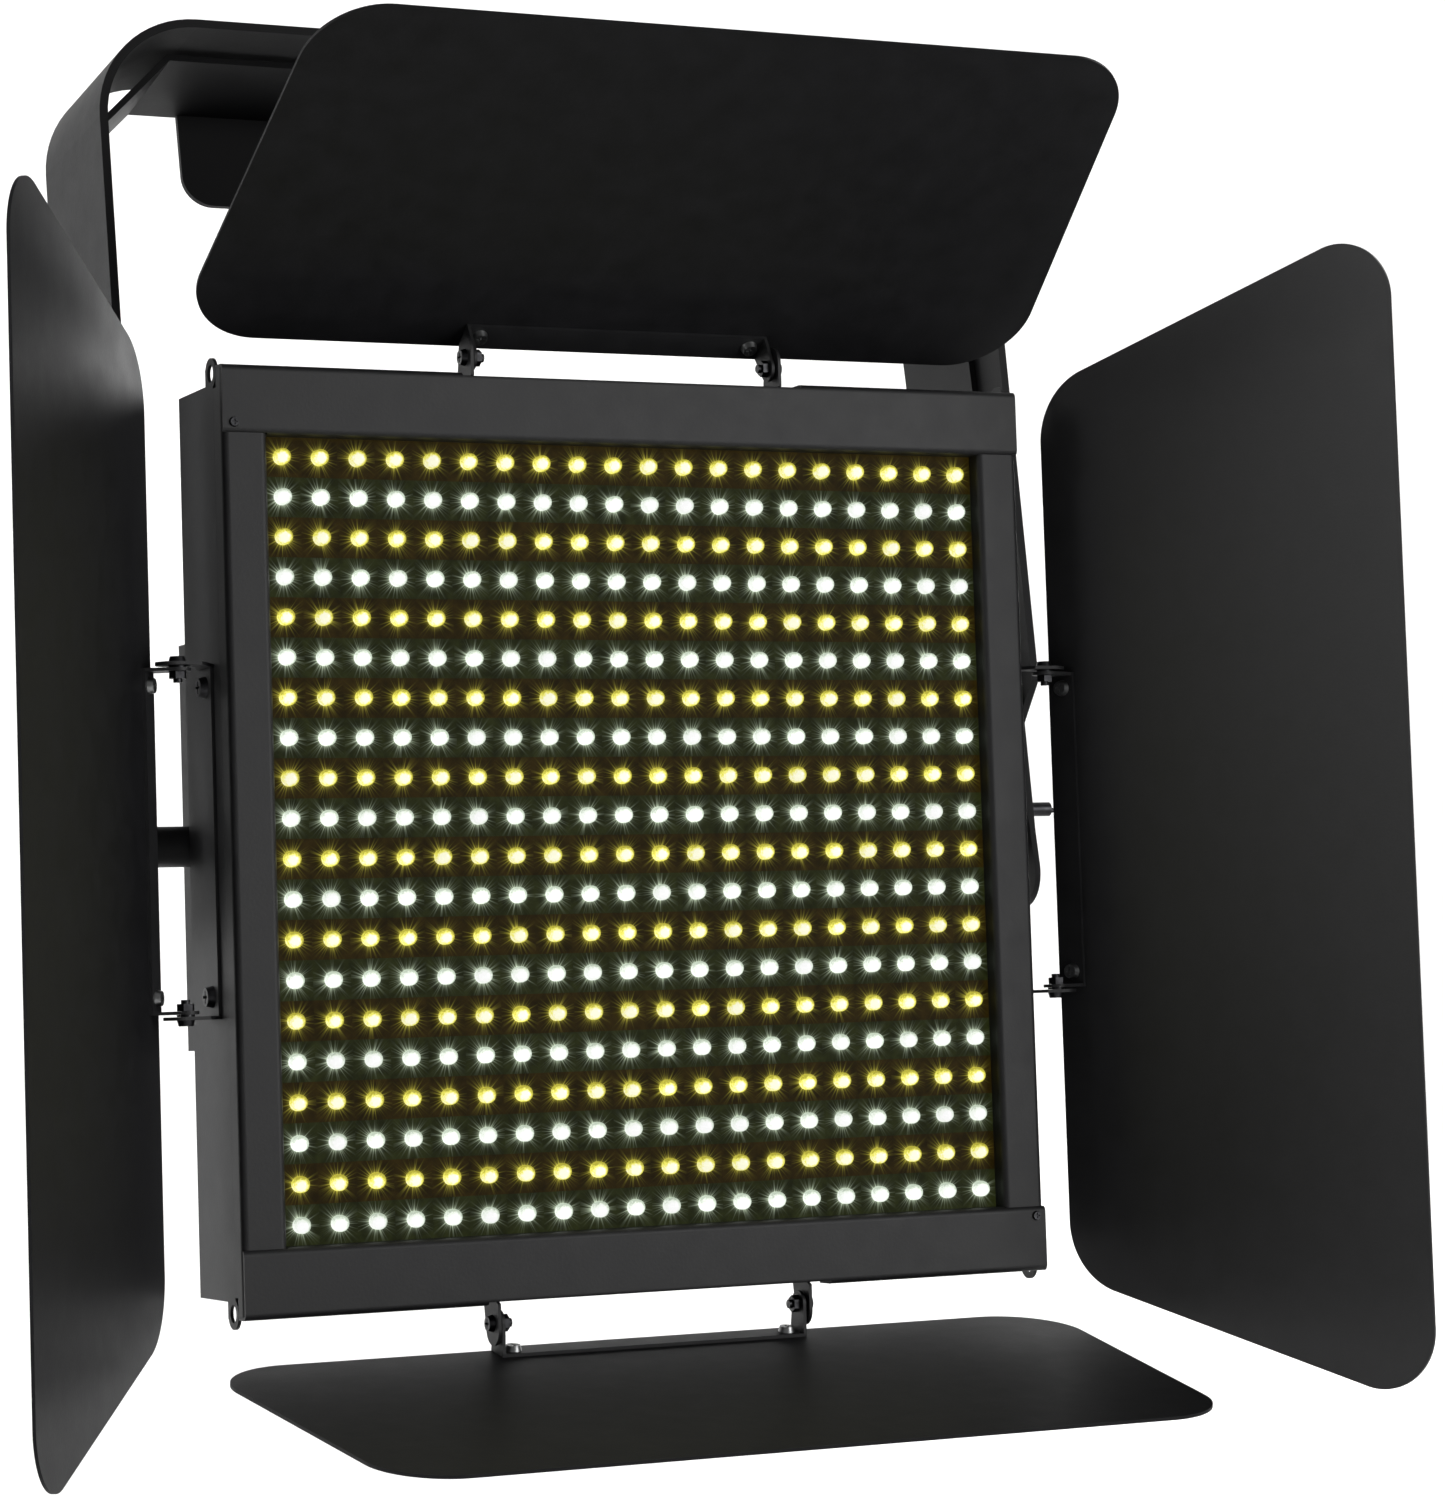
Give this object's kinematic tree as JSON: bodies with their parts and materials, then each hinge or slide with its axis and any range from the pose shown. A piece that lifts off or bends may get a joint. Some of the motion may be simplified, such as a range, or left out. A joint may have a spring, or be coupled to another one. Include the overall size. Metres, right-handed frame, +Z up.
{
  "type": "led panel light",
  "caption": "Square LED panel light with four hinged barn doors, a rear electronics box and a double hanging yoke.",
  "frame": {"origin": "centre of the bolt hole in the outer yoke's crossbar, half way through the bar", "axes": "+Z up the panel, -Y the way the light shines, +X to the right seen from in front of the light"},
  "size_m": [0.655, 0.3494, 0.6514],
  "materials": {
    "powder_coat": "satin textured black powder coat",
    "zinc": "zinc plated",
    "circuit_board": "dark solder mask",
    "cool_lens": "clear lens, lit cool white",
    "warm_lens": "clear lens, lit warm white",
    "raw_aluminium": "mill finish",
    "black_plastic": "fine grain",
    "display_window": "tinted, glossy",
    "button_plastic": "smooth satin"
  },
  "bodies": {
    "outer_yoke": {"outer_yoke": "powder_coat"},
    "inner_yoke": {"inner_yoke": "powder_coat"},
    "lock_screw_left": {"lock_screw_left": "zinc"},
    "lock_screw_right": {"lock_screw_right": "zinc"},
    "head": {"side_plate_left": "powder_coat", "side_plate_right": "powder_coat", "housing_tray": "powder_coat", "bezel_top": "powder_coat", "bezel_bottom": "powder_coat", "bezel_left": "powder_coat", "bezel_right": "powder_coat", "bezel_screws": "zinc", "led_board": "circuit_board", "cool_leds": "cool_lens", "warm_leds": "warm_lens", "heat_sink": "raw_aluminium", "board_posts": "raw_aluminium", "rear_box": "powder_coat", "rear_cover": "powder_coat", "cover_screws": "zinc", "power_supply": "raw_aluminium", "driver_board": "circuit_board", "display": "display_window", "power_inlet": "black_plastic", "power_outlet": "black_plastic", "fuse_holder": "black_plastic", "data_in": "black_plastic", "data_out": "black_plastic", "safety_eye": "zinc", "tilt_posts": "powder_coat", "tilt_bolts": "zinc", "tilt_washers": "zinc", "hinge_bracket_top": "powder_coat", "hinge_bracket_bottom": "powder_coat", "hinge_bracket_left": "powder_coat", "hinge_bracket_right": "powder_coat", "hinge_pins_top": "zinc", "hinge_pins_bottom": "zinc", "hinge_pins_left": "zinc", "hinge_pins_right": "zinc", "bracket_screws": "zinc"},
    "door_top": {"door_top": "powder_coat", "hinge_strip_top": "powder_coat", "strip_screws_top": "zinc"},
    "door_bottom": {"door_bottom": "powder_coat", "hinge_strip_bottom": "powder_coat", "strip_screws_bottom": "zinc"},
    "door_left": {"door_left": "powder_coat", "hinge_strip_left": "powder_coat", "strip_screws_left": "zinc"},
    "door_right": {"door_right": "powder_coat", "hinge_strip_right": "powder_coat", "strip_screws_right": "zinc"},
    "menu_button": {"menu_button": "button_plastic"},
    "down_button": {"down_button": "button_plastic"},
    "up_button": {"up_button": "button_plastic"},
    "enter_button": {"enter_button": "button_plastic"}
  },
  "joints": [
    {"name": "head_tilt", "type": "hinge", "parent": "outer_yoke", "child": "head", "pos_m": [0, -0.04763, -0.377], "axis": [1, 0, 0], "range_deg": [-6, 80]},
    {"name": "inner_yoke_swing", "type": "hinge", "parent": "outer_yoke", "child": "inner_yoke", "pos_m": [0, -0.04763, -0.377], "axis": [1, 0, 0], "range_deg": [-60, 3.5]},
    {"name": "door_top_swing", "type": "hinge", "parent": "head", "child": "door_top", "pos_m": [0, -0.10813, -0.157], "axis": [-1, 0, 0], "range_deg": [-116, 64]},
    {"name": "door_bottom_swing", "type": "hinge", "parent": "head", "child": "door_bottom", "pos_m": [0, -0.10813, -0.597], "axis": [1, 0, 0], "range_deg": [-89.5, 90.5]},
    {"name": "door_right_swing", "type": "hinge", "parent": "head", "child": "door_right", "pos_m": [0.22, -0.10813, -0.377], "axis": [0, 0, -1], "range_deg": [-62, 34]},
    {"name": "door_left_swing", "type": "hinge", "parent": "head", "child": "door_left", "pos_m": [-0.22, -0.10813, -0.377], "axis": [0, 0, 1], "range_deg": [-55, 41]},
    {"name": "menu_press", "type": "slide", "parent": "head", "child": "menu_button", "axis": [0, 1, 0], "range_m": [-0.0015, 0], "stiffness_N_per_m": 600, "springref_m": 0.0004},
    {"name": "down_press", "type": "slide", "parent": "head", "child": "down_button", "axis": [0, 1, 0], "range_m": [-0.0015, 0], "stiffness_N_per_m": 600, "springref_m": 0.0004},
    {"name": "up_press", "type": "slide", "parent": "head", "child": "up_button", "axis": [0, 1, 0], "range_m": [-0.0015, 0], "stiffness_N_per_m": 600, "springref_m": 0.0004},
    {"name": "enter_press", "type": "slide", "parent": "head", "child": "enter_button", "axis": [0, 1, 0], "range_m": [-0.0015, 0], "stiffness_N_per_m": 600, "springref_m": 0.0004},
    {"name": "lock_screw_left_turn", "type": "hinge", "parent": "outer_yoke", "child": "lock_screw_left", "pos_m": [-0.24, -0.046, -0.36411], "axis": [-1, 0, 0], "range_deg": [-180, 180]},
    {"name": "lock_screw_right_turn", "type": "hinge", "parent": "outer_yoke", "child": "lock_screw_right", "pos_m": [0.24, -0.046, -0.36411], "axis": [1, 0, 0], "range_deg": [-180, 180]}
  ]
}
